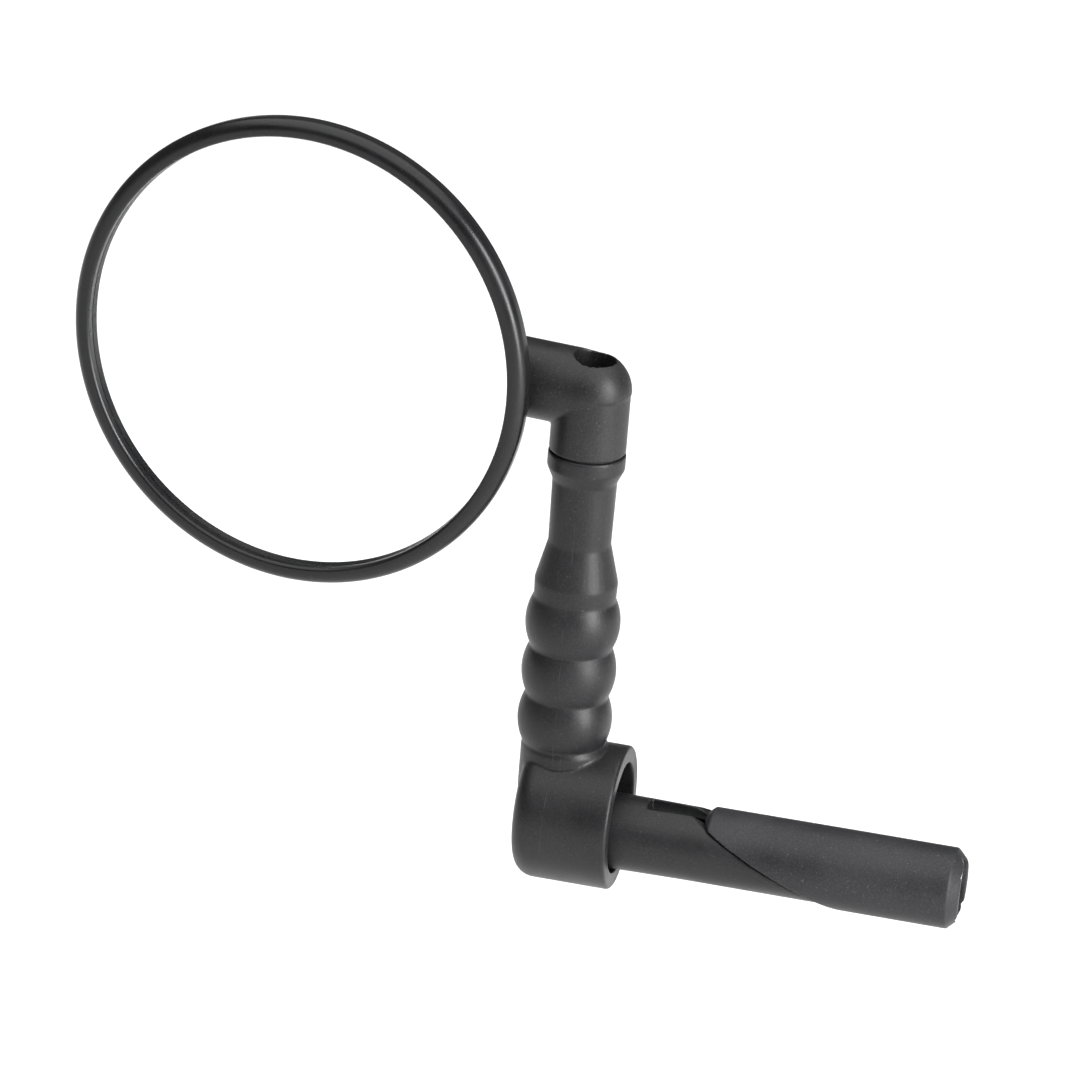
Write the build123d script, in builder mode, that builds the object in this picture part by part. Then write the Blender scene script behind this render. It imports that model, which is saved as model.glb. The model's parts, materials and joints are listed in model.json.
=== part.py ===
from build123d import *
from math import cos, radians, sin, sqrt, tan
import os

# Bar-end mirror: a ribbed arm with a cup and an expanding plug, and a round swivelling head.
# Millimetres. The origin is the centre of the cup's open rim, where it meets the end of the bar.
# +X runs along the plug into the bar, +Z up the arm, and the mirror faces -Y.

os.makedirs("parts", exist_ok=True)

# Cup that covers the end of the bar
cup_r = 12.5
cup_bore_r = 9.6
cup_len = 17.0
cup_depth = 7.0
cup_end_round = 3.5
rim_edge = 0.35

# Stem of the arm
arm_x = -11.3
arm_top_z = 66.0
collar_r = 6.6
collar_bottom_z = 63.4
neck_top_z = 61.0
neck_top_r = 5.5
neck_r = 5.35
neck_bottom_z = 49.6
flare_z = 42.6
flare_r = 7.1
band_z = 39.5
bead_r = 8.1
bead_waist_r = 7.0
bead_pitch = 8.95
bead_count = 3
foot_r = 7.5
foot_x = -10.9
foot_z = 13.2
foot_round = 1.2

# Plug tube, ramp and wedge
plug_z = -2.5
tube_root_r = 6.7
tube_r = 6.4
tube_taper_len = 12.0
tube_bore_r = 4.25
tube_bore_x = 2.0
ramp_angle = 25.65
ramp_axis_x = 25.4
ramp_gap = 0.3
slot_x = 4.7
slot_root_w = 4.2
slot_ramp_w = 2.6
wedge_r = 7.0
wedge_end_x = 59.9
wedge_chamfer = 1.8
wedge_nose_x = 14.7
wedge_nose_chamfer = 1.3
wedge_draft = 0.06
wedge_draft_end_x = 42.0
wedge_lift = 3.8

# Expander bolt and nut, both M4
bolt_z = -0.8
m4_r = 2.0
m4_clear_r = 2.3
m4_head_r = 3.5
m4_head_len = 4.0
m4_socket_af = 3.0
m4_socket_depth = 2.0
m4_nut_af = 7.0
m4_nut_len = 3.2
nut_play = 0.06
nut_recess = 0.8
m4_thread_play = 0.05
bolt_len = 70.0
washer_r = 4.5
washer_len = 0.8
bolt_recess_r = 4.75
bolt_recess_floor_x = -10.2

# Swivel between arm and head
swivel_washer_len = 0.35
swivel_washer_r = 6.1
spigot_r = 3.9
spigot_len = 2.2
spigot_play = 0.06
insert_r = 2.9
insert_len = 9.0
insert_groove = 0.35
screw_seat_z = 70.6
lock_washer_r = 3.5
lock_washer_len = 1.2
lock_washer_slit = 0.8
pivot_screw_len = 20.0

# Elbow
elbow_z = 76.95
elbow_r = 6.65
skirt_r = 6.5
key_hole_r = 3.6
barrel_len = 36.0
barrel_end_round = 4.5

# Head: heights are measured along the mirror's normal from the barrel's axis
head_turn = 7.4
head_offset = 48.9
shell_back = 5.2
shell_flat_r = 35.5
shell_rim_r = 40.5
shell_rim = 8.3
shell_floor = 7.0
shell_pocket_r = 37.4
bezel_r = 41.0
bezel_widest = 10.3
bezel_crest = 12.3
bezel_seat_r = 39.35
bezel_lip_r = 37.95
bezel_lip = 11.7
glass_r = 39.2
glass_front = 12.1
glass_len = 2.0
glass_radius = 450.0
bezel_foot_step = 0.2
bezel_side_bow = 0.07
bezel_shoulder = 0.5
bezel_crest_out = 0.8
bezel_crest_fall = 0.1
bezel_glass_gap = 0.1
bezel_lip_gap = 0.25
pad_r = 31.0
head_screw_from_arm = (21.0, 33.0)
head_screw_r = 1.45
head_screw_head_r = 2.8
head_screw_head_len = 1.3
head_screw_tip = -1.5

# Directions and planes
toward_head = Vector(-cos(radians(head_turn)), sin(radians(head_turn)), 0)
mirror_normal = Vector(-sin(radians(head_turn)), -cos(radians(head_turn)), 0)
elbow_centre = Vector(arm_x, 0, elbow_z)
head_centre = elbow_centre + toward_head * head_offset
stem_plane = Plane((arm_x, 0, 0), x_dir=(1, 0, 0), z_dir=(0, -1, 0))
stem_axis = Axis((arm_x, 0, 0), (0, 0, 1))
foot_plane = Plane((foot_x, 0, 0), x_dir=(1, 0, 0), z_dir=(0, -1, 0))
foot_axis = Axis((foot_x, 0, 0), (0, 0, 1))
plug_plane = Plane((0, 0, plug_z), x_dir=(1, 0, 0), z_dir=(0, -1, 0))
plug_axis = Axis((0, 0, plug_z), (1, 0, 0))
bolt_plane = Plane((0, 0, bolt_z), x_dir=(1, 0, 0), z_dir=(0, -1, 0))
bolt_axis = Axis((0, 0, bolt_z), (1, 0, 0))
head_plane = Plane(head_centre, x_dir=toward_head, z_dir=(0, 0, 1))
head_axis = Axis(head_centre, mirror_normal)

# The ramp crosses the plug's axis at ramp_axis_x and falls towards +X
ramp_slope = tan(radians(ramp_angle))
ramp_span = 2 * bolt_len


def across_x(x, z=0.0):
    """A plane across the plug at x whose own Y is up, for sketches that are extruded along +X."""
    return Plane((x, 0, z), x_dir=(0, 1, 0), z_dir=(1, 0, 0))


def glass_drop(radius):
    """How far the convex glass has fallen away from its middle at this radius."""
    return glass_radius - sqrt(glass_radius**2 - radius**2)


def ramp_side(start_x, toward):
    """Corners, in the plug plane, of everything on one side of a ramp that crosses the axis at start_x."""
    low = (start_x + ramp_span, -ramp_span * ramp_slope)
    high = (start_x - ramp_span, ramp_span * ramp_slope)
    return [high, low, (start_x + toward * 2 * ramp_span, toward * 2 * ramp_span)]


# Arm: stem, cup and plug tube are one moulding
bead_swell = bead_r - bead_waist_r
bead_bottoms = [band_z - bead_pitch * (i + 1) for i in range(bead_count)]

# The plug tube by itself, cut off along the ramp
with BuildPart() as plug_tube:
    with BuildSketch(plug_plane):
        Polygon(
            (-cup_depth - 1, 0),
            (-cup_depth - 1, tube_root_r),
            (tube_taper_len, tube_r),
            (ramp_axis_x + bolt_len, tube_r),
            (ramp_axis_x + bolt_len, 0),
            align=None,
        )
    revolve(axis=plug_axis)
    with BuildSketch(plug_plane):
        Polygon(*ramp_side(ramp_axis_x, 1), align=None)
    extrude(amount=cup_r, both=True, mode=Mode.SUBTRACT)

with BuildPart() as arm:
    with BuildSketch(stem_plane):
        with BuildLine():
            Polyline(
                (0, 0),
                (0, arm_top_z),
                (collar_r, arm_top_z),
                (collar_r, collar_bottom_z),
                (neck_top_r, neck_top_z),
                (neck_r, neck_bottom_z),
                (flare_r, flare_z),
                (bead_waist_r, band_z),
            )
            for bottom_z in bead_bottoms:
                ThreePointArc(
                    (bead_waist_r, bottom_z + bead_pitch),
                    (bead_r, bottom_z + bead_pitch / 2),
                    (bead_waist_r, bottom_z),
                )
            Polyline((bead_waist_r, bead_bottoms[-1]), (bead_waist_r, 0), (0, 0))
        make_face()
    revolve(axis=stem_axis)
    # Foot under the beads, which runs down into the cup
    with BuildSketch(foot_plane):
        with BuildLine():
            Line((0, -foot_r), (0, foot_z))
            Line((0, foot_z), (foot_r - foot_round, foot_z))
            RadiusArc((foot_r - foot_round, foot_z), (foot_r, foot_z - foot_round), foot_round)
            Line((foot_r, foot_z - foot_round), (foot_r, 0))
            RadiusArc((foot_r, 0), (0, -foot_r), foot_r)
        make_face()
    revolve(axis=foot_axis)
    with BuildSketch(Plane.XZ):
        with BuildLine():
            Polyline((-cup_len, 0), (0, 0), (0, cup_r - rim_edge), (-rim_edge, cup_r))
            Line((-rim_edge, cup_r), (cup_end_round - cup_len, cup_r))
            RadiusArc(
                (cup_end_round - cup_len, cup_r),
                (-cup_len, cup_r - cup_end_round),
                -cup_end_round,
            )
            Line((-cup_len, cup_r - cup_end_round), (-cup_len, 0))
        make_face()
    revolve(axis=Axis.X)
    with BuildSketch(across_x(-cup_depth)):
        Circle(cup_bore_r)
    extrude(amount=cup_depth, mode=Mode.SUBTRACT)
    add(plug_tube.part)
    with BuildSketch(across_x(tube_bore_x, plug_z)):
        Circle(tube_bore_r)
    extrude(amount=bolt_len, mode=Mode.SUBTRACT)
    with BuildSketch(Plane.XY.offset(plug_z)):
        Polygon(
            (slot_x, -slot_root_w / 2),
            (ramp_axis_x, -slot_ramp_w / 2),
            (ramp_axis_x, slot_ramp_w / 2),
            (slot_x, slot_root_w / 2),
            align=None,
        )
    extrude(amount=tube_root_r, mode=Mode.SUBTRACT)
    # Passage for the bolt, with a recess for its head in the closed end
    with BuildSketch(across_x(-2 * cup_len, bolt_z)):
        Circle(bolt_recess_r)
    extrude(amount=2 * cup_len + bolt_recess_floor_x, mode=Mode.SUBTRACT)
    with BuildSketch(across_x(bolt_recess_floor_x, bolt_z)):
        Circle(m4_clear_r)
    extrude(amount=tube_bore_x + 1 - bolt_recess_floor_x, mode=Mode.SUBTRACT)
    # Bore for the elbow's spigot, the threaded insert below it and room for the screw's tip
    with BuildSketch(Plane((arm_x, 0, arm_top_z))):
        Circle(spigot_r + spigot_play)
    extrude(amount=-(spigot_len + spigot_play), mode=Mode.SUBTRACT)
    insert_top_z = arm_top_z - spigot_len - spigot_play
    with BuildSketch(Plane((arm_x, 0, insert_top_z))):
        Circle(insert_r)
    extrude(amount=-insert_len, mode=Mode.SUBTRACT)
    with BuildSketch(Plane((arm_x, 0, insert_top_z - insert_len))):
        Circle(m4_clear_r)
    extrude(amount=-insert_len / 2, mode=Mode.SUBTRACT)

# Wedge that climbs the ramp and grips the bar's bore
wedge_axis_x = ramp_axis_x + ramp_gap / sin(radians(ramp_angle))
nut_face_x = wedge_end_x - nut_recess
nut_seat_x = nut_face_x - m4_nut_len
pocket_af = m4_nut_af + 2 * nut_play
pocket_corner_r = pocket_af / 2 / cos(radians(30))

with BuildPart() as expander_wedge:
    with BuildSketch(plug_plane):
        Polygon(
            (wedge_nose_x, 0),
            (wedge_nose_x, wedge_r - wedge_nose_chamfer),
            (wedge_nose_x + wedge_nose_chamfer, wedge_r - wedge_draft),
            (wedge_draft_end_x, wedge_r),
            (wedge_end_x - wedge_chamfer, wedge_r),
            (wedge_end_x, wedge_r - wedge_chamfer),
            (wedge_end_x, 0),
            align=None,
        )
    revolve(axis=plug_axis)
    with BuildSketch(plug_plane):
        Polygon(*ramp_side(wedge_axis_x, -1), align=None)
    extrude(amount=cup_r, both=True, mode=Mode.SUBTRACT)
    # The bolt's passage and the nut's pocket are drawn out downwards, so the wedge can rise past them
    with BuildSketch(across_x(wedge_nose_x, bolt_z - wedge_lift / 2)):
        SlotCenterToCenter(wedge_lift, 2 * m4_clear_r, rotation=90)
    extrude(amount=nut_seat_x - wedge_nose_x, mode=Mode.SUBTRACT)
    with BuildSketch(across_x(nut_seat_x - nut_play)):
        with Locations((0, bolt_z), (0, bolt_z - wedge_lift)):
            RegularPolygon(pocket_corner_r, 6, rotation=30)
        with Locations((0, bolt_z - wedge_lift / 2)):
            Rectangle(pocket_af, wedge_lift)
    extrude(amount=wedge_end_x - nut_seat_x + nut_play, mode=Mode.SUBTRACT)

# Expander bolt, its washer and the nut in the wedge
under_head_x = bolt_recess_floor_x - washer_len

with BuildPart() as expander_bolt:
    with BuildSketch(bolt_plane):
        Polygon(
            (under_head_x - m4_head_len, 0),
            (under_head_x - m4_head_len, m4_head_r),
            (under_head_x, m4_head_r),
            (under_head_x, m4_r),
            (under_head_x + bolt_len, m4_r),
            (under_head_x + bolt_len, 0),
            align=None,
        )
    revolve(axis=bolt_axis)
    with BuildSketch(across_x(under_head_x - m4_head_len, bolt_z)):
        RegularPolygon(m4_socket_af / 2, 6, major_radius=False)
    extrude(amount=m4_socket_depth, mode=Mode.SUBTRACT)

with BuildPart() as bolt_washer:
    with BuildSketch(across_x(under_head_x, bolt_z)):
        Circle(washer_r)
        Circle(m4_clear_r, mode=Mode.SUBTRACT)
    extrude(amount=washer_len)

with BuildPart() as wedge_nut:
    with BuildSketch(across_x(nut_seat_x, bolt_z)):
        RegularPolygon(m4_nut_af / 2, 6, major_radius=False, rotation=30)
        Circle(m4_r + m4_thread_play, mode=Mode.SUBTRACT)
    extrude(amount=m4_nut_len)

# Swivel: threaded insert, friction washer, lock washer and pivot screw
skirt_bottom_z = arm_top_z + swivel_washer_len
head_top_z = screw_seat_z + lock_washer_len + m4_head_len

with BuildPart() as threaded_insert:
    with BuildSketch(Plane((arm_x, 0, insert_top_z - insert_len))):
        Circle(insert_r)
        Circle(m4_r + m4_thread_play, mode=Mode.SUBTRACT)
    extrude(amount=insert_len)
    with BuildSketch(Plane((arm_x, 0, insert_top_z - insert_len * 0.6))):
        Circle(insert_r)
        Circle(insert_r - insert_groove, mode=Mode.SUBTRACT)
    extrude(amount=insert_len * 0.2, mode=Mode.SUBTRACT)

with BuildPart() as friction_washer:
    with BuildSketch(Plane((arm_x, 0, arm_top_z))):
        Circle(swivel_washer_r)
        Circle(spigot_r + spigot_play, mode=Mode.SUBTRACT)
    extrude(amount=swivel_washer_len)

with BuildPart() as lock_washer:
    with BuildSketch(Plane((arm_x, 0, screw_seat_z))):
        Circle(lock_washer_r)
        Circle(m4_clear_r, mode=Mode.SUBTRACT)
        with Locations((lock_washer_r, 0)):
            Rectangle(2 * lock_washer_r, lock_washer_slit, mode=Mode.SUBTRACT)
    extrude(amount=lock_washer_len)

with BuildPart() as pivot_screw:
    with BuildSketch(stem_plane):
        Polygon(
            (0, head_top_z),
            (m4_head_r, head_top_z),
            (m4_head_r, head_top_z - m4_head_len),
            (m4_r, head_top_z - m4_head_len),
            (m4_r, head_top_z - m4_head_len - pivot_screw_len),
            (0, head_top_z - m4_head_len - pivot_screw_len),
            align=None,
        )
    revolve(axis=stem_axis)
    with BuildSketch(Plane((arm_x, 0, head_top_z))):
        RegularPolygon(m4_socket_af / 2, 6, major_radius=False)
    extrude(amount=-m4_socket_depth, mode=Mode.SUBTRACT)

# Back shell of the head, first as the solid that its outside encloses
with BuildPart() as shell_envelope:
    with BuildSketch(head_plane):
        with BuildLine():
            Line((0, shell_back), (shell_flat_r, shell_back))
            TangentArc((shell_flat_r, shell_back), (shell_rim_r, shell_rim), tangent=(1, 0))
            Polyline((shell_rim_r, shell_rim), (0, shell_rim), (0, shell_back))
        make_face()
    revolve(axis=head_axis)

head_screw_places = [place - head_offset for place in head_screw_from_arm]

with BuildPart() as back_shell:
    add(shell_envelope.part)
    with BuildSketch(head_plane):
        Polygon(
            (0, shell_floor),
            (shell_pocket_r, shell_floor),
            (shell_pocket_r, shell_rim),
            (0, shell_rim),
            align=None,
        )
    revolve(axis=head_axis, mode=Mode.SUBTRACT)
    for place in head_screw_places:
        screw_seat = head_plane.from_local_coords(Vector(place, shell_floor, 0))
        with Locations(Plane(screw_seat, x_dir=(0, 0, 1), z_dir=mirror_normal)):
            CounterSinkHole(head_screw_r, head_screw_head_r, depth=shell_floor - shell_back + 1)

with BuildPart() as elbow_screws:
    for place in head_screw_places:
        with BuildSketch(head_plane):
            Polygon(
                (place, shell_floor),
                (place + head_screw_head_r, shell_floor),
                (place + head_screw_r, shell_floor - head_screw_head_len),
                (place + head_screw_r, head_screw_tip + head_screw_r),
                (place, head_screw_tip),
                align=None,
            )
        revolve(axis=Axis(head_plane.from_local_coords(Vector(place, 0, 0)), mirror_normal))

# Elbow: skirt with a ball corner on the arm's axis, and a barrel that the head is screwed to
with BuildPart() as elbow:
    with BuildSketch(stem_plane):
        with BuildLine():
            Polyline(
                (0, skirt_bottom_z - swivel_washer_len - spigot_len),
                (spigot_r, skirt_bottom_z - swivel_washer_len - spigot_len),
                (spigot_r, skirt_bottom_z),
                (skirt_r, skirt_bottom_z),
                (skirt_r, elbow_z),
                (elbow_r, elbow_z),
            )
            RadiusArc((elbow_r, elbow_z), (0, elbow_z + elbow_r), -elbow_r)
            Line((0, elbow_z + elbow_r), (0, skirt_bottom_z - swivel_washer_len - spigot_len))
        make_face()
    revolve(axis=stem_axis)
    with BuildSketch(Plane(elbow_centre, x_dir=(0, 0, 1), z_dir=toward_head)):
        Circle(elbow_r)
    extrude(amount=barrel_len)
    barrel_end = elbow.faces().filter_by(GeomType.PLANE).sort_by(Axis(elbow_centre, toward_head))[-1]
    fillet(barrel_end.edges(), barrel_end_round)
    add(shell_envelope.part, mode=Mode.SUBTRACT)
    with BuildSketch(Plane((arm_x, 0, screw_seat_z))):
        Circle(key_hole_r)
    extrude(amount=2 * elbow_r, mode=Mode.SUBTRACT)
    with BuildSketch(Plane((arm_x, 0, screw_seat_z))):
        Circle(m4_clear_r)
    extrude(amount=-2 * elbow_r, mode=Mode.SUBTRACT)
    for place in head_screw_places:
        pilot = head_plane.from_local_coords(Vector(place, shell_back + 1, 0))
        with BuildSketch(Plane(pilot, x_dir=(0, 0, 1), z_dir=mirror_normal)):
            Circle(head_screw_r)
        extrude(amount=-(shell_back + 1 - head_screw_tip), mode=Mode.SUBTRACT)

# Mirror glass, foam pad and the bezel that holds them
glass_edge = glass_front - glass_drop(glass_r)

with BuildPart() as mirror_glass:
    with BuildSketch(head_plane):
        with BuildLine():
            RadiusArc((0, glass_front), (glass_r, glass_edge), glass_radius)
            Line((glass_r, glass_edge), (glass_r, glass_edge - glass_len))
            RadiusArc((glass_r, glass_edge - glass_len), (0, glass_front - glass_len), -glass_radius)
            Line((0, glass_front - glass_len), (0, glass_front))
        make_face()
    revolve(axis=head_axis)

pad_edge = glass_front - glass_len - glass_drop(pad_r)

with BuildPart() as mirror_pad:
    with BuildSketch(head_plane):
        with BuildLine():
            Polyline((0, glass_front - glass_len), (0, shell_floor), (pad_r, shell_floor), (pad_r, pad_edge))
            RadiusArc((pad_r, pad_edge), (0, glass_front - glass_len), -glass_radius)
        make_face()
    revolve(axis=head_axis)

bezel_crest_r = (bezel_seat_r + bezel_lip_r) / 2 + bezel_crest_out

with BuildPart() as bezel:
    with BuildSketch(head_plane):
        with BuildLine():
            ThreePointArc(
                (shell_rim_r + bezel_foot_step, shell_rim),
                (bezel_r - bezel_side_bow, (shell_rim + bezel_widest) / 2),
                (bezel_r, bezel_widest),
            )
            ThreePointArc((bezel_r, bezel_widest), (bezel_r - bezel_shoulder, bezel_lip), (bezel_crest_r, bezel_crest))
            ThreePointArc(
                (bezel_crest_r, bezel_crest),
                (bezel_lip_r + bezel_shoulder, bezel_crest - bezel_crest_fall),
                (bezel_lip_r, bezel_lip),
            )
            Polyline(
                (bezel_lip_r, bezel_lip),
                (bezel_lip_r, glass_edge + bezel_lip_gap),
                (bezel_seat_r, glass_edge + bezel_glass_gap),
                (bezel_seat_r, shell_rim),
                (shell_rim_r + bezel_foot_step, shell_rim),
            )
        make_face()
    revolve(axis=head_axis)

pieces = {
    "arm": arm,
    "expander_wedge": expander_wedge,
    "expander_bolt": expander_bolt,
    "bolt_washer": bolt_washer,
    "wedge_nut": wedge_nut,
    "threaded_insert": threaded_insert,
    "friction_washer": friction_washer,
    "lock_washer": lock_washer,
    "pivot_screw": pivot_screw,
    "elbow": elbow,
    "elbow_screws": elbow_screws,
    "back_shell": back_shell,
    "mirror_pad": mirror_pad,
    "mirror_glass": mirror_glass,
    "bezel": bezel,
}
for label, piece in pieces.items():
    piece.part.label = label
    export_step(piece.part, f"parts/{label}.step")
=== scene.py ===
import json
import math

import bmesh
import bpy
from mathutils import Matrix, Vector


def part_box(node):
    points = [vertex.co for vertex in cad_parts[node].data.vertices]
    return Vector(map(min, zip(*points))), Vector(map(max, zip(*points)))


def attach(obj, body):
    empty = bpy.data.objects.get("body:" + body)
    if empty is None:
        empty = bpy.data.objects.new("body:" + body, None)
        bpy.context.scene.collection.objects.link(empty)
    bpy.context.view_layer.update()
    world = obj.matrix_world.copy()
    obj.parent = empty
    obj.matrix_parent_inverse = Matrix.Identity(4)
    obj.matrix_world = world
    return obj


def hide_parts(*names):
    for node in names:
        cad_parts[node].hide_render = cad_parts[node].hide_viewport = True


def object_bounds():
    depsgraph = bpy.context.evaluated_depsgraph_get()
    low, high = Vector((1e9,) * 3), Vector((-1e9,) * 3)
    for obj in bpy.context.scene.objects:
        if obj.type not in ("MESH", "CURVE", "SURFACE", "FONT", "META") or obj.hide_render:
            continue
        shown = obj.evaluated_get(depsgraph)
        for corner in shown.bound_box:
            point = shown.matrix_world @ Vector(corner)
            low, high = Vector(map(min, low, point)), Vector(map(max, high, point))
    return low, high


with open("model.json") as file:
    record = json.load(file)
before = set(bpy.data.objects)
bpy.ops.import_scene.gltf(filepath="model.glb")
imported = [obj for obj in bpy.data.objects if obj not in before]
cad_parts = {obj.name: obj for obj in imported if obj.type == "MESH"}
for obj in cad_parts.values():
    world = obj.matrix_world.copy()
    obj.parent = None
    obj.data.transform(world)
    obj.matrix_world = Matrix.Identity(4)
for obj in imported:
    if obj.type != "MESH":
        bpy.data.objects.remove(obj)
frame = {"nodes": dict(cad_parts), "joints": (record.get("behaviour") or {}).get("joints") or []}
cad_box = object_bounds()

MM = 0.001
SEGMENTS = 192
RIM_SEGMENTS = 256
WELD = 1e-7
# A profile starts this far off its axis, so that a cap closes it
POLE_R = 0.0004 * MM

# ---------------------------------------------------------------- places, read from the frame
joints = {joint["name"]: joint for joint in frame["joints"]}
bolt_low, bolt_high = (Vector(corner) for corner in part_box("expander_bolt"))
nut_low, nut_high = (Vector(corner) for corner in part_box("wedge_nut"))
screw_low, screw_high = (Vector(corner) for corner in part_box("pivot_screw"))
glass_low, glass_high = (Vector(corner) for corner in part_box("mirror_glass"))
swivel = Vector(joints["head_swivel"]["pos_m"])
bolt_line = Vector(joints["bolt_turn"]["pos_m"])

UP = Vector((0, 0, 1))
ALONG_PLUG = Vector((1, 0, 0))

# The head stands a few degrees round the arm from straight ahead
HEAD_TURN = math.radians(7.4)
mirror_normal = Vector((-math.sin(HEAD_TURN), -math.cos(HEAD_TURN), 0))
toward_head = Vector((-math.cos(HEAD_TURN), math.sin(HEAD_TURN), 0))
HEAD_OFFSET = 48.9 * MM
head_height = (glass_low.z + glass_high.z) / 2
head_centre = Vector((swivel.x, swivel.y, head_height)) + toward_head * HEAD_OFFSET

# M4 fasteners
THREAD_R = 2.0 * MM
PITCH = 0.7 * MM
HEAD_R = 3.5 * MM
HEAD_LEN = 4.0 * MM
SOCKET_R = 3.0 * MM / math.sqrt(3)
SOCKET_DEPTH = 2.0 * MM
NUT_FLAT_R = 3.5 * MM
NUT_CORNER_R = 7.0 * MM / math.sqrt(3)
BOLT_THREAD_LEN = 30 * MM
CLEAR_R = 2.2 * MM
SPIGOT_CLEAR_R = 3.96 * MM


# ---------------------------------------------------------------- mesh helpers
def axes_at(origin, axis):
    """A matrix whose Z runs along axis from origin."""
    turn = axis.to_track_quat("Z", "Y").to_matrix().to_4x4()
    return Matrix.Translation(origin) @ turn


def new_object(name, mesh):
    piece = bpy.data.objects.new(name, mesh)
    bpy.context.scene.collection.objects.link(piece)
    return piece


def from_grid(name, rows, closed_ends=True):
    """A mesh from rings of points, each ring joined to the next, with a cap on both ends."""
    made = bmesh.new()
    rings = [[made.verts.new(point) for point in row] for row in rows]
    count = len(rings[0])
    for low, high in zip(rings, rings[1:]):
        for i in range(count):
            j = (i + 1) % count
            made.faces.new((low[i], low[j], high[j], high[i]))
    if closed_ends:
        made.faces.new(list(reversed(rings[0])))
        made.faces.new(rings[-1])
    bmesh.ops.recalc_face_normals(made, faces=made.faces)
    mesh = bpy.data.meshes.new(name)
    made.to_mesh(mesh)
    made.free()
    return new_object(name, mesh)


def lathe(name, profile, origin, axis, segments=SEGMENTS, closed=False):
    """Turns (radius, height) points round an axis. A closed profile gives a ring, an open one is capped."""
    place = axes_at(origin, axis)
    points = profile + profile[:1] if closed else profile
    rows = []
    for radius, height in points:
        row = []
        for i in range(segments):
            angle = 2 * math.pi * i / segments
            row.append(place @ Vector((radius * math.cos(angle), radius * math.sin(angle), height)))
        rows.append(row)
    piece = from_grid(name, rows, closed_ends=not closed)
    if closed:
        weld(piece, WELD)
    return piece


def weld(piece, distance):
    made = bmesh.new()
    made.from_mesh(piece.data)
    bmesh.ops.remove_doubles(made, verts=made.verts, dist=distance)
    bmesh.ops.recalc_face_normals(made, faces=made.faces)
    made.to_mesh(piece.data)
    made.free()


def settle(piece):
    """Applies the piece's modifiers to its mesh."""
    depsgraph = bpy.context.evaluated_depsgraph_get()
    mesh = bpy.data.meshes.new_from_object(piece.evaluated_get(depsgraph))
    piece.modifiers.clear()
    piece.data = mesh


def smooth_shade(piece, angle=35):
    """Smooth shading, with the edges that are sharper than the angle kept crisp."""
    made = bmesh.new()
    made.from_mesh(piece.data)
    limit = math.radians(angle)
    for edge in made.edges:
        edge.smooth = len(edge.link_faces) == 2 and edge.calc_face_angle(0) < limit
    for face in made.faces:
        face.smooth = True
    made.to_mesh(piece.data)
    made.free()


def bevelled(piece, width, segments=3, angle=30):
    bevel = piece.modifiers.new("edges", "BEVEL")
    bevel.width = width
    bevel.segments = segments
    bevel.limit_method = "ANGLE"
    bevel.angle_limit = math.radians(angle)
    settle(piece)


def cut(piece, cutter, operation="DIFFERENCE"):
    boolean = piece.modifiers.new("cut", "BOOLEAN")
    boolean.operation = operation
    boolean.solver = "EXACT"
    boolean.object = cutter
    settle(piece)
    bpy.data.objects.remove(cutter)


def arc(centre, radius, start, end, steps):
    """Points of a round stretch of a profile, angles in degrees from the radius direction."""
    points = []
    for i in range(steps + 1):
        angle = math.radians(start + (end - start) * i / steps)
        points.append((centre[0] + radius * math.cos(angle), centre[1] + radius * math.sin(angle)))
    return points


def moulded(name, node, voxel, passes):
    """The CAD node's own shape with every edge softened, as a moulding has it."""
    piece = new_object(name, frame["nodes"][node].data.copy())
    weld(piece, WELD)
    remesh = piece.modifiers.new("even", "REMESH")
    remesh.mode = "VOXEL"
    remesh.voxel_size = voxel
    smooth = piece.modifiers.new("soften", "SMOOTH")
    smooth.factor = 0.5
    smooth.iterations = passes
    settle(piece)
    for face in piece.data.polygons:
        face.use_smooth = True
    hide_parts(node)
    return piece


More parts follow.
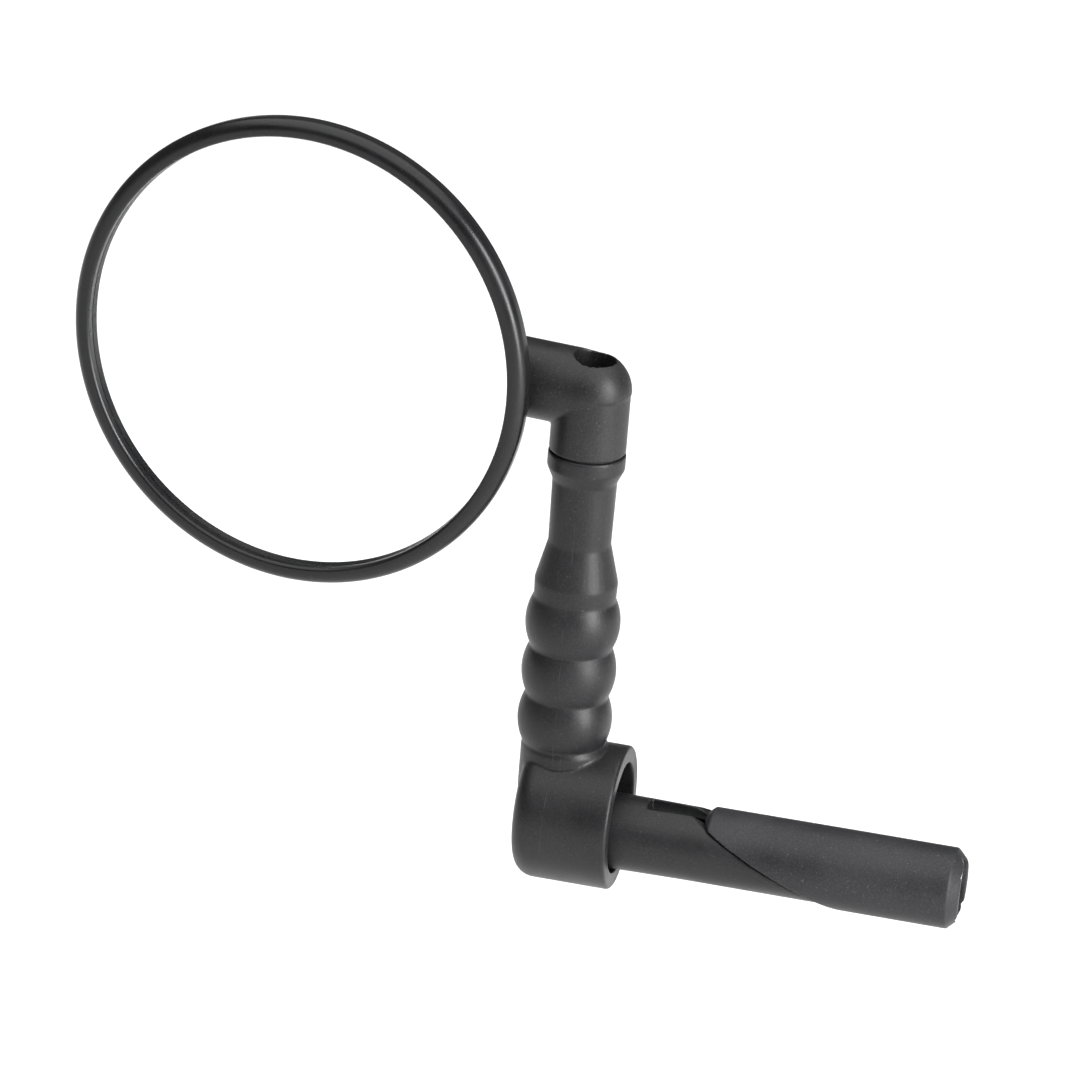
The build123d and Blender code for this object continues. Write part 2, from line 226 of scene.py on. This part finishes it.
# ---------------------------------------------------------------- materials
class Surface:
    """A Principled material and the few nodes that most of the surfaces here share."""

    def __init__(self, name, colour, roughness, metallic=0.0):
        self.material = bpy.data.materials.new(name)
        self.material.use_nodes = True
        self.nodes = self.material.node_tree.nodes
        self.links = self.material.node_tree.links
        self.shader = self.nodes["Principled BSDF"]
        self.shader.inputs["Base Color"].default_value = (*colour, 1)
        self.shader.inputs["Roughness"].default_value = roughness
        self.shader.inputs["Metallic"].default_value = metallic
        self.place = self.nodes.new("ShaderNodeTexCoord").outputs["Object"]

    def noise(self, scale, detail=2.0, roughness=0.5):
        node = self.nodes.new("ShaderNodeTexNoise")
        node.inputs["Scale"].default_value = scale
        node.inputs["Detail"].default_value = detail
        node.inputs["Roughness"].default_value = roughness
        self.links.new(self.place, node.inputs["Vector"])
        return node.outputs["Fac"]

    def ramp(self, value, low, high, out_low, out_high):
        """Maps value from low..high to out_low..out_high, and no further."""
        node = self.nodes.new("ShaderNodeMapRange")
        node.inputs["From Min"].default_value = low
        node.inputs["From Max"].default_value = high
        node.inputs["To Min"].default_value = out_low
        node.inputs["To Max"].default_value = out_high
        self.links.new(value, node.inputs["Value"])
        return node.outputs["Result"]

    def math(self, operation, first, second=0.0):
        node = self.nodes.new("ShaderNodeMath")
        node.operation = operation
        for socket, value in zip(node.inputs, (first, second)):
            if isinstance(value, (int, float)):
                socket.default_value = value
            else:
                self.links.new(value, socket)
        return node.outputs["Value"]

    def coordinate(self, axis):
        node = self.nodes.new("ShaderNodeSeparateXYZ")
        self.links.new(self.place, node.inputs["Vector"])
        return node.outputs[axis]

    def blend(self, factor, first, second):
        node = self.nodes.new("ShaderNodeMix")
        node.data_type = "RGBA"
        node.inputs["A"].default_value = (*first, 1)
        node.inputs["B"].default_value = (*second, 1)
        self.links.new(factor, node.inputs["Factor"])
        return node.outputs["Result"]

    def colour_from(self, output):
        self.links.new(output, self.shader.inputs["Base Color"])

    def roughness_from(self, output):
        self.links.new(output, self.shader.inputs["Roughness"])

    def bump_from(self, output, height, strength=1.0):
        node = self.nodes.new("ShaderNodeBump")
        node.inputs["Distance"].default_value = height
        node.inputs["Strength"].default_value = strength
        self.links.new(output, node.inputs["Height"])
        self.links.new(node.outputs["Normal"], self.shader.inputs["Normal"])


def black_plastic(name, dark, light, smooth_finish, rough_finish, grain, seam_x):
    """Black moulded plastic: grain, cloudy wear, pale specks and, at seam_x, the parting line."""
    surface = Surface(name, dark, rough_finish)
    surface.shader.inputs["Specular IOR Level"].default_value = 0.32
    fine = surface.noise(3800, 3.0, 0.6)
    cloud = surface.noise(70, 4.0, 0.6)
    speck = surface.ramp(surface.noise(2100, 1.0), 0.68, 0.76, 0.0, 0.7)
    height = surface.math("MULTIPLY", fine, 0.55)
    shade = surface.math("MULTIPLY", surface.ramp(cloud, 0.35, 0.7, 0.0, 1.0), 0.2)
    grain_shade = surface.math("MULTIPLY", surface.ramp(fine, 0.45, 0.75, 0.0, 1.0), 0.3)
    shade = surface.math("ADD", shade, grain_shade)
    shade = surface.math("MAXIMUM", shade, speck)
    if seam_x is not None:
        aside = surface.math("ABSOLUTE", surface.math("SUBTRACT", surface.coordinate("X"), seam_x))
        line = surface.ramp(aside, 0.00004, 0.00016, 0.6, 0.0)
        broken = surface.ramp(surface.noise(260, 2.0), 0.42, 0.6, 0.0, 1.0)
        line = surface.math("MULTIPLY", line, broken)
        height = surface.math("ADD", height, line)
        shade = surface.math("MAXIMUM", shade, surface.math("MULTIPLY", line, 0.75))
    surface.colour_from(surface.blend(shade, dark, light))
    surface.roughness_from(surface.ramp(cloud, 0.35, 0.65, smooth_finish, rough_finish))
    surface.bump_from(height, grain)
    return surface.material


def plated_steel(name, colour, roughness):
    """Zinc plating or black oxide on a turned fastener: slightly uneven sheen."""
    surface = Surface(name, colour, roughness, metallic=1.0)
    cloud = surface.noise(900, 3.0)
    fine = surface.noise(9000, 2.0)
    brighter = tuple(min(1.0, channel * 1.25) for channel in colour)
    surface.colour_from(surface.blend(surface.ramp(cloud, 0.3, 0.7, 0.0, 1.0), colour, brighter))
    surface.roughness_from(surface.ramp(cloud, 0.3, 0.7, roughness - 0.08, roughness + 0.08))
    surface.bump_from(fine, 0.000008)
    return surface.material


def silvered_glass():
    """Back-silvered glass, with the faintest dust."""
    surface = Surface("mirror_silver", (0.95, 0.96, 0.965), 0.015, metallic=1.0)
    surface.shader.inputs["Coat Weight"].default_value = 1.0
    surface.shader.inputs["Coat Roughness"].default_value = 0.01
    dust = surface.ramp(surface.noise(2600, 1.0), 0.76, 0.80, 0.0, 1.0)
    surface.colour_from(surface.blend(dust, (0.955, 0.962, 0.966), (0.88, 0.88, 0.88)))
    surface.roughness_from(surface.ramp(dust, 0.0, 1.0, 0.012, 0.12))
    return surface.material


def backing_paint():
    surface = Surface("mirror_backing", (0.16, 0.17, 0.19), 0.6)
    surface.colour_from(surface.blend(surface.noise(300, 3.0), (0.13, 0.14, 0.16), (0.2, 0.21, 0.23)))
    surface.bump_from(surface.noise(2500, 2.0), 0.00002)
    return surface.material


def foam():
    surface = Surface("pad_foam", (0.05, 0.05, 0.05), 0.9)
    cells = surface.nodes.new("ShaderNodeTexVoronoi")
    cells.inputs["Scale"].default_value = 1800
    surface.links.new(surface.place, cells.inputs["Vector"])
    surface.colour_from(surface.blend(cells.outputs["Distance"], (0.03, 0.03, 0.03), (0.1, 0.1, 0.1)))
    surface.bump_from(cells.outputs["Distance"], 0.0001)
    return surface.material


def brass():
    surface = Surface("insert_brass", (0.72, 0.53, 0.24), 0.3, metallic=1.0)
    surface.colour_from(surface.blend(surface.noise(700, 3.0), (0.68, 0.48, 0.2), (0.8, 0.62, 0.32)))
    surface.bump_from(surface.noise(6000, 2.0), 0.00001)
    return surface.material


GRAIN = 0.00005
# name: dark and light colours, roughness where smooth and where rough, height of the grain, parting line
PLASTICS = {
    "arm_plastic": ((0.0045, 0.0045, 0.005), (0.035, 0.035, 0.038), 0.36, 0.50, GRAIN, swivel.x),
    "elbow_plastic": ((0.0045, 0.0045, 0.005), (0.045, 0.045, 0.047), 0.36, 0.52, GRAIN, None),
    "wedge_plastic": ((0.007, 0.007, 0.008), (0.06, 0.06, 0.065), 0.44, 0.58, GRAIN, None),
    "shell_plastic": ((0.0045, 0.0045, 0.005), (0.035, 0.035, 0.037), 0.38, 0.5, GRAIN, None),
    "rim_plastic": ((0.004, 0.004, 0.0045), (0.02, 0.02, 0.022), 0.24, 0.36, GRAIN / 2, None),
    "washer_plastic": ((0.006, 0.006, 0.006), (0.012, 0.012, 0.012), 0.6, 0.7, GRAIN, None),
}
plastics = {name: black_plastic(name, *values) for name, values in PLASTICS.items()}
zinc = plated_steel("zinc_plate", (0.58, 0.59, 0.6), 0.34)
black_oxide = plated_steel("black_oxide", (0.035, 0.035, 0.037), 0.4)


def dress(piece, body, slot, *materials):
    """Gives a piece its materials and the body that it moves with; the slot argument is not used."""
    piece.data.materials.clear()
    for material in materials:
        piece.data.materials.append(material)
    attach(piece, body)
    return piece


# ---------------------------------------------------------------- mouldings
ARM_VOXEL = 0.22 * MM
FINE_VOXEL = 0.18 * MM
SOFTEN_PASSES = 9
WEDGE_PASSES = 6

arm = moulded("ribbed_arm", "arm", ARM_VOXEL, SOFTEN_PASSES)
dress(arm, "arm", "moulded_plastic", plastics["arm_plastic"])
elbow = moulded("elbow_moulding", "elbow", FINE_VOXEL, SOFTEN_PASSES)
dress(elbow, "head", "moulded_plastic", plastics["elbow_plastic"])
wedge = moulded("wedge_moulding", "expander_wedge", FINE_VOXEL, WEDGE_PASSES)
dress(wedge, "wedge", "wedge_plastic", plastics["wedge_plastic"])

# ---------------------------------------------------------------- head
# Heights are along the mirror's normal, from the middle of the elbow's barrel
GLASS_R = 39.2 * MM
GLASS_FRONT = 12.1 * MM
GLASS_LEN = 2.0 * MM
GLASS_RADIUS = 450 * MM
SHELL_RIM_R = 40.5 * MM
SHELL_RIM = 8.3 * MM
SHELL_BACK = 5.2 * MM
SHELL_FLOOR = 7.0 * MM


def glass_drop(radius):
    """How far the convex glass has fallen away from its middle at this radius."""
    return GLASS_RADIUS - math.sqrt(GLASS_RADIUS**2 - radius**2)


def build_glass():
    steps = 24
    edge = 0.3 * MM
    front = []
    back = []
    for i in range(steps + 1):
        radius = max(POLE_R, (GLASS_R - edge) * i / steps)
        front.append((radius, GLASS_FRONT - glass_drop(radius)))
        back.append((radius, GLASS_FRONT - GLASS_LEN - glass_drop(radius)))
    rim = [(GLASS_R, front[-1][1] - edge), (GLASS_R, back[-1][1] + edge)]
    piece = lathe("mirror_disc", front + rim + list(reversed(back)), head_centre, mirror_normal)
    smooth_shade(piece, 30)
    dress(piece, "head", "mirror", silvered_glass(), backing_paint())
    for face in piece.data.polygons:
        face.material_index = 1 if face.normal.dot(mirror_normal) < -0.5 else 0
    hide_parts("mirror_glass")


def build_bezel():
    """Ring with a crowned front, a rolled inner lip and a fine step where it meets the shell."""
    widest = 10.3 * MM
    crest = 12.25 * MM
    outer_r = 41.0 * MM
    lip_r = 37.95 * MM
    seat_r = 39.35 * MM
    crown = (outer_r - 1.95 * MM, widest)
    profile = [(seat_r, SHELL_RIM)]
    profile += [(SHELL_RIM_R - 0.1 * MM, SHELL_RIM), (SHELL_RIM_R + 0.15 * MM, SHELL_RIM)]
    profile += [(SHELL_RIM_R + 0.3 * MM, SHELL_RIM + 0.12 * MM), (outer_r - 0.06 * MM, widest - 0.9 * MM)]
    profile += arc(crown, 1.95 * MM, 0, 96, 22)
    profile += arc((lip_r + 0.62 * MM, crest - 0.62 * MM), 0.62 * MM, 100, 186, 12)
    glass_edge = GLASS_FRONT - glass_drop(lip_r)
    profile += [(lip_r, glass_edge + 0.16 * MM), (lip_r + 0.12 * MM, glass_edge + 0.04 * MM)]
    profile += [(seat_r, glass_edge + 0.04 * MM)]
    piece = lathe("rim_bezel", profile, head_centre, mirror_normal, segments=RIM_SEGMENTS, closed=True)
    smooth_shade(piece, 40)
    dress(piece, "head", "rim_plastic", plastics["rim_plastic"])
    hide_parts("bezel")


def build_shell():
    """Shallow pan behind the glass, with a soft outer edge."""
    flat_r = 35.5 * MM
    pocket_r = 37.4 * MM
    rise = SHELL_RIM - SHELL_BACK
    run = SHELL_RIM_R - flat_r
    profile = [(POLE_R, SHELL_BACK)]
    for i in range(17):
        angle = math.pi / 2 * i / 16
        bend = (run * math.sin(angle), rise * (1 - math.cos(angle)))
        profile.append((flat_r + bend[0], SHELL_BACK + bend[1]))
    profile += [(pocket_r + 0.2 * MM, SHELL_RIM), (pocket_r, SHELL_RIM - 0.2 * MM)]
    profile += [(pocket_r, SHELL_FLOOR + 0.3 * MM), (pocket_r - 0.3 * MM, SHELL_FLOOR)]
    profile += [(POLE_R, SHELL_FLOOR)]
    piece = lathe("mirror_back", profile, head_centre, mirror_normal)
    smooth_shade(piece, 40)
    dress(piece, "head", "moulded_plastic", plastics["shell_plastic"])
    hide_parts("back_shell")


def build_pad():
    pad_r = 31.0 * MM
    steps = 12
    profile = [(POLE_R, SHELL_FLOOR + 0.01 * MM), (pad_r - 0.2 * MM, SHELL_FLOOR + 0.01 * MM)]
    profile += [(pad_r, SHELL_FLOOR + 0.2 * MM)]
    for i in range(steps, -1, -1):
        radius = max(POLE_R, pad_r * i / steps)
        profile.append((radius, GLASS_FRONT - GLASS_LEN - 0.02 * MM - glass_drop(radius)))
    piece = lathe("foam_disc", profile, head_centre, mirror_normal, segments=96)
    smooth_shade(piece, 40)
    dress(piece, "head", "pad_foam", foam())
    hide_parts("mirror_pad")


build_glass()
build_bezel()
build_shell()
build_pad()


# ---------------------------------------------------------------- fasteners
def threaded_rod(name, radius, length, origin, axis, thread_from, pitch=PITCH):
    """A rod from origin along axis, with a real thread from thread_from to its bevelled tip."""
    place = axes_at(origin, axis)
    around = 36
    per_turn = 8
    depth = 0.6134 * pitch
    tip = 0.8 * radius
    row_count = int((length - thread_from) / pitch * per_turn) + 1
    rows = [0.0, thread_from - pitch]
    rows += [thread_from + pitch / per_turn * i for i in range(row_count)]
    rings = []
    for height in rows:
        ring = []
        for i in range(around):
            angle = 2 * math.pi * i / around
            phase = (height / pitch - i / around) % 1.0
            groove = depth * (1 - abs(2 * phase - 1)) if height >= thread_from else 0.0
            size = min(radius - groove, radius - depth * 0.6 + max(0.0, length - height) / tip * depth)
            ring.append(place @ Vector((size * math.cos(angle), size * math.sin(angle), height)))
        rings.append(ring)
    return from_grid(name, rings)


def prism(name, radius, sides, low, high, origin, axis, turn=0.0):
    """A prism round an axis, its first corner turned from the axes' own X."""
    place = axes_at(origin, axis)
    rings = []
    for height in (low, high):
        ring = []
        for i in range(sides):
            angle = turn + 2 * math.pi * i / sides
            ring.append(place @ Vector((radius * math.cos(angle), radius * math.sin(angle), height)))
        rings.append(ring)
    return from_grid(name, rings)


def join(target, *others):
    """Adds the other pieces' meshes to target's own."""
    made = bmesh.new()
    made.from_mesh(target.data)
    for other in others:
        made.from_mesh(other.data)
        bpy.data.objects.remove(other)
    made.to_mesh(target.data)
    made.free()


def socket_screw(name, under_head, axis, length, thread_from):
    """Hex-socket cap screw: knurled head with a bevelled top, and a threaded shank along axis."""
    place = axes_at(under_head, -axis)
    knurls = 45
    around = knurls * 6
    heights = [(0.0, -0.12), (0.12, 0.0), (0.75, 0.0), (0.8, 0.0), (0.93, -0.05), (1.0, -0.28)]
    rings = []
    for share, inset in heights:
        ring = []
        for i in range(around):
            angle = 2 * math.pi * i / around
            knurled = 0.5 < i % 6 < 3.5 and 0.05 < share < 0.82
            size = HEAD_R + inset * MM - (0.09 * MM if knurled else 0.0)
            ring.append(place @ Vector((size * math.cos(angle), size * math.sin(angle), share * HEAD_LEN)))
        rings.append(ring)
    head = from_grid(name, rings)
    socket = prism("socket", SOCKET_R, 6, HEAD_LEN - SOCKET_DEPTH, HEAD_LEN * 2, under_head, -axis)
    cut(head, socket)
    shank = threaded_rod("shank", THREAD_R - 0.01 * MM, length, under_head, axis, thread_from)
    join(head, shank)
    smooth_shade(head, 32)
    return head


def flat_washer(name, inner, outer, thickness, origin, axis):
    edge = 0.08 * MM
    profile = [(inner, edge), (inner + edge, 0), (outer - edge, 0), (outer, edge)]
    profile += [(outer, thickness - edge), (outer - edge, thickness), (inner + edge, thickness)]
    profile += [(inner, thickness - edge)]
    piece = lathe(name, profile, origin, axis, segments=96, closed=True)
    smooth_shade(piece, 50)
    return piece


def split_washer(name, inner, outer, thickness, origin):
    """Spring lock washer: a square-section ring, cut through and very slightly twisted open."""
    steps = 80
    gap = math.radians(13)
    rings = []
    for i in range(steps + 1):
        angle = gap / 2 + (2 * math.pi - gap) * i / steps
        lift = 0.06 * MM * (i / steps - 0.5)
        ring = []
        for radius, height in ((inner, 0), (outer, 0), (outer, thickness), (inner, thickness)):
            height = min(max(height * 0.94 + 0.03 * thickness + lift, 0), thickness)
            ring.append(origin + Vector((radius * math.cos(angle), radius * math.sin(angle), height)))
        rings.append(ring)
    piece = from_grid(name, rings)
    bevelled(piece, 0.07 * MM, 2)
    smooth_shade(piece, 30)
    return piece


def hex_nut(name, origin, axis, thickness):
    """M4 nut with its corners turned off on both faces and a chamfered bore."""
    clear = 0.001 * MM
    face_r = NUT_FLAT_R - 0.05 * MM
    axis_r = 0.01 * MM
    piece = prism(name, NUT_CORNER_R, 6, 0, thickness, origin, axis, math.radians(90))
    slope = (NUT_CORNER_R - NUT_FLAT_R) * math.tan(math.radians(30))
    wide_r = NUT_CORNER_R + 0.1 * MM
    profile = [(axis_r, -clear), (face_r, -clear), (wide_r, slope), (wide_r, thickness - slope)]
    profile += [(face_r, thickness + clear), (axis_r, thickness + clear)]
    cut(piece, lathe("turned", profile, origin, axis, segments=96), "INTERSECT")
    mouth_r = 2.4 * MM
    past = 0.2 * MM
    chamfer = 0.3 * MM
    bore = [(axis_r, -past), (mouth_r, -past), (THREAD_R, chamfer), (THREAD_R, thickness - chamfer)]
    bore += [(mouth_r, thickness + past), (axis_r, thickness + past)]
    cut(piece, lathe("bore", bore, origin, axis, segments=64))
    smooth_shade(piece, 25)
    return piece


BOLT_LEN = bolt_high.x - bolt_low.x - HEAD_LEN
under_head = Vector((bolt_low.x + HEAD_LEN, bolt_line.y, bolt_line.z))
bolt = socket_screw("long_cap_bolt", under_head, ALONG_PLUG, BOLT_LEN, BOLT_LEN - BOLT_THREAD_LEN)
dress(bolt, "bolt", "zinc_steel", zinc)
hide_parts("expander_bolt")

SCREW_LEN = screw_high.z - screw_low.z - HEAD_LEN
screw_seat = Vector((swivel.x, swivel.y, screw_high.z - HEAD_LEN))
pivot_screw = socket_screw("swivel_cap_screw", screw_seat, -UP, SCREW_LEN, 1.5 * MM)
dress(pivot_screw, "pivot_screw", "black_steel", black_oxide)
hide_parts("pivot_screw")

nut_place = Vector((nut_low.x, bolt_line.y, bolt_line.z))
nut = hex_nut("captive_nut", nut_place, ALONG_PLUG, nut_high.x - nut_low.x)
dress(nut, "nut", "zinc_steel", zinc)
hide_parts("wedge_nut")

washer_low, washer_high = (Vector(corner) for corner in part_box("bolt_washer"))
washer_place = Vector((washer_low.x, bolt_line.y, bolt_line.z))
washer_r = (washer_high.z - washer_low.z) / 2
washer_len = washer_high.x - washer_low.x
bolt_washer = flat_washer("bolt_head_washer", CLEAR_R, washer_r, washer_len, washer_place, ALONG_PLUG)
dress(bolt_washer, "arm", "zinc_steel", zinc)
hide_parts("bolt_washer")

friction_low, friction_high = (Vector(corner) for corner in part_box("friction_washer"))
friction_place = Vector((swivel.x, swivel.y, friction_low.z))
friction_r = (friction_high.x - friction_low.x) / 2
friction_len = friction_high.z - friction_low.z
friction_washer = flat_washer("swivel_washer", SPIGOT_CLEAR_R, friction_r, friction_len, friction_place, UP)
dress(friction_washer, "head", "washer_nylon", plastics["washer_plastic"])
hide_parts("friction_washer")

lock_low, lock_high = (Vector(corner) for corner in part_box("lock_washer"))
lock_place = Vector((swivel.x, swivel.y, lock_low.z))
lock_washer = split_washer("split_lock_washer", CLEAR_R, HEAD_R, lock_high.z - lock_low.z, lock_place)
dress(lock_washer, "head", "zinc_steel", zinc)
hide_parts("lock_washer")


def build_insert():
    """Brass insert: two knurled bands with a groove between them, moulded into the top of the arm."""
    low, high = (Vector(corner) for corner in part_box("threaded_insert"))
    length = high.z - low.z
    outer = (high.x - low.x) / 2
    place = Vector((swivel.x, swivel.y, low.z))
    around = 144
    bands = [(0.0, 0.35), (0.04, 0.0), (0.39, 0.0), (0.4, 0.36)]
    bands += [(0.6, 0.36), (0.61, 0.0), (0.96, 0.0), (1.0, 0.35)]
    rings = []
    for share, inset in bands:
        ring = []
        for i in range(around):
            angle = 2 * math.pi * i / around
            knurled = i % 4 > 1 and inset == 0.0
            size = outer - inset * MM - (0.12 * MM if knurled else 0.0)
            ring.append(place + Vector((size * math.cos(angle), size * math.sin(angle), share * length)))
        rings.append(ring)
    piece = from_grid("knurled_insert", rings)
    bore = lathe("bore", [(2.05 * MM, -MM), (2.05 * MM, length + MM)], place, UP, segments=48)
    cut(piece, bore)
    smooth_shade(piece, 30)
    dress(piece, "arm", "insert_brass", brass())
    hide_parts("threaded_insert")


def build_elbow_screws():
    """Two countersunk screws with a square recess, from inside the shell into the elbow's barrel."""
    head_len = 1.3 * MM
    screw_r = 1.4 * MM
    screw_len = 8.3 * MM
    screw_pitch = 1.1 * MM
    thread_from = 1.6 * MM
    into_head = mirror_normal * 0.2 * MM
    screws = []
    for from_arm in (21.0 * MM, 33.0 * MM):
        place = Vector((swivel.x, swivel.y, head_height))
        place = place + toward_head * from_arm + mirror_normal * SHELL_FLOOR
        profile = [(POLE_R, 0), (2.55 * MM, 0), (2.75 * MM, -0.12 * MM)]
        profile += [(screw_r, -head_len), (POLE_R, -head_len)]
        head = lathe("screw_head", profile, place, mirror_normal, segments=64)
        cut(head, prism("recess", 1.5 * MM, 4, -0.8 * MM, 1 * MM, place, mirror_normal))
        shank = threaded_rod(
            "screw_shank", screw_r, screw_len, place - into_head, -mirror_normal, thread_from, screw_pitch
        )
        join(head, shank)
        screws.append(head)
    piece = screws[0]
    join(piece, screws[1])
    piece.name = "countersunk_screws"
    smooth_shade(piece, 30)
    dress(piece, "head", "zinc_steel", zinc)
    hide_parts("elbow_screws")


build_insert()
build_elbow_screws()


# ---------------------------------------------------------------- stage, light and camera
FLOOR_DROP = 0.06
WORLD_STRENGTH = 0.14
SENSOR = 36
FRAME_PIXELS = 1080
PIXELS_PER_MM = 5.8360


def build_floor():
    surface = Surface("floor_paper", (0.86, 0.86, 0.86), 0.85)
    surface.colour_from(surface.blend(surface.noise(3.0, 2.0), (0.85, 0.85, 0.85), (0.87, 0.87, 0.87)))
    size = 14.0
    level = cad_box[0][2] - FLOOR_DROP
    mesh = bpy.data.meshes.new("floor")
    corners = [(-size, -size, level), (size, -size, level), (size, size, level), (-size, size, level)]
    mesh.from_pydata(corners, [], [(0, 1, 2, 3)])
    floor = new_object("floor", mesh)
    floor.data.materials.append(surface.material)


def softbox(name, place, target, width, height, power):
    light = bpy.data.lights.new(name, "AREA")
    light.shape = "RECTANGLE"
    light.size = width
    light.size_y = height
    light.energy = power
    lamp = bpy.data.objects.new(name, light)
    lamp.location = place
    lamp.rotation_euler = (Vector(target) - Vector(place)).to_track_quat("-Z", "Y").to_euler()
    bpy.context.scene.collection.objects.link(lamp)


def build_light():
    world = bpy.data.worlds.new("studio")
    world.use_nodes = True
    world.node_tree.nodes["Background"].inputs["Color"].default_value = (1, 1, 1, 1)
    world.node_tree.nodes["Background"].inputs["Strength"].default_value = WORLD_STRENGTH
    bpy.context.scene.world = world
    middle = (-0.02, 0, 0.05)
    softbox("ceiling", (-0.4, -0.5, 2.4), (-0.4, -0.5, 0), 4.2, 4.2, 125)
    softbox("right_box", (0.95, -0.5, 0.42), middle, 0.35, 0.9, 26)


def build_camera():
    """A long lens, from the front, a little to the right and above, rolled a few degrees."""
    azimuth, elevation, roll = math.radians(11.73), math.radians(22.58), math.radians(4.70)
    distance = 1028.7 * MM
    aim_right, aim_up = 13.89 * MM, -47.59 * MM
    level = math.cos(elevation)
    back = Vector((math.sin(azimuth) * level, -math.cos(azimuth) * level, math.sin(elevation)))
    right = UP.cross(back).normalized()
    up = back.cross(right)
    right, up = right * math.cos(roll) + up * math.sin(roll), up * math.cos(roll) - right * math.sin(roll)
    data = bpy.data.cameras.new("camera")
    data.sensor_width = SENSOR
    data.lens = SENSOR * PIXELS_PER_MM * distance / MM / FRAME_PIXELS
    data.clip_start = 0.05
    data.clip_end = 60
    camera = bpy.data.objects.new("camera", data)
    place = back * distance - right * aim_right - up * aim_up
    camera.matrix_world = Matrix(
        (
            (right.x, up.x, back.x, place.x),
            (right.y, up.y, back.y, place.y),
            (right.z, up.z, back.z, place.z),
            (0, 0, 0, 1),
        )
    )
    bpy.context.scene.collection.objects.link(camera)
    bpy.context.scene.camera = camera


build_floor()
build_light()
build_camera()
bpy.context.scene.view_settings.view_transform = "Standard"
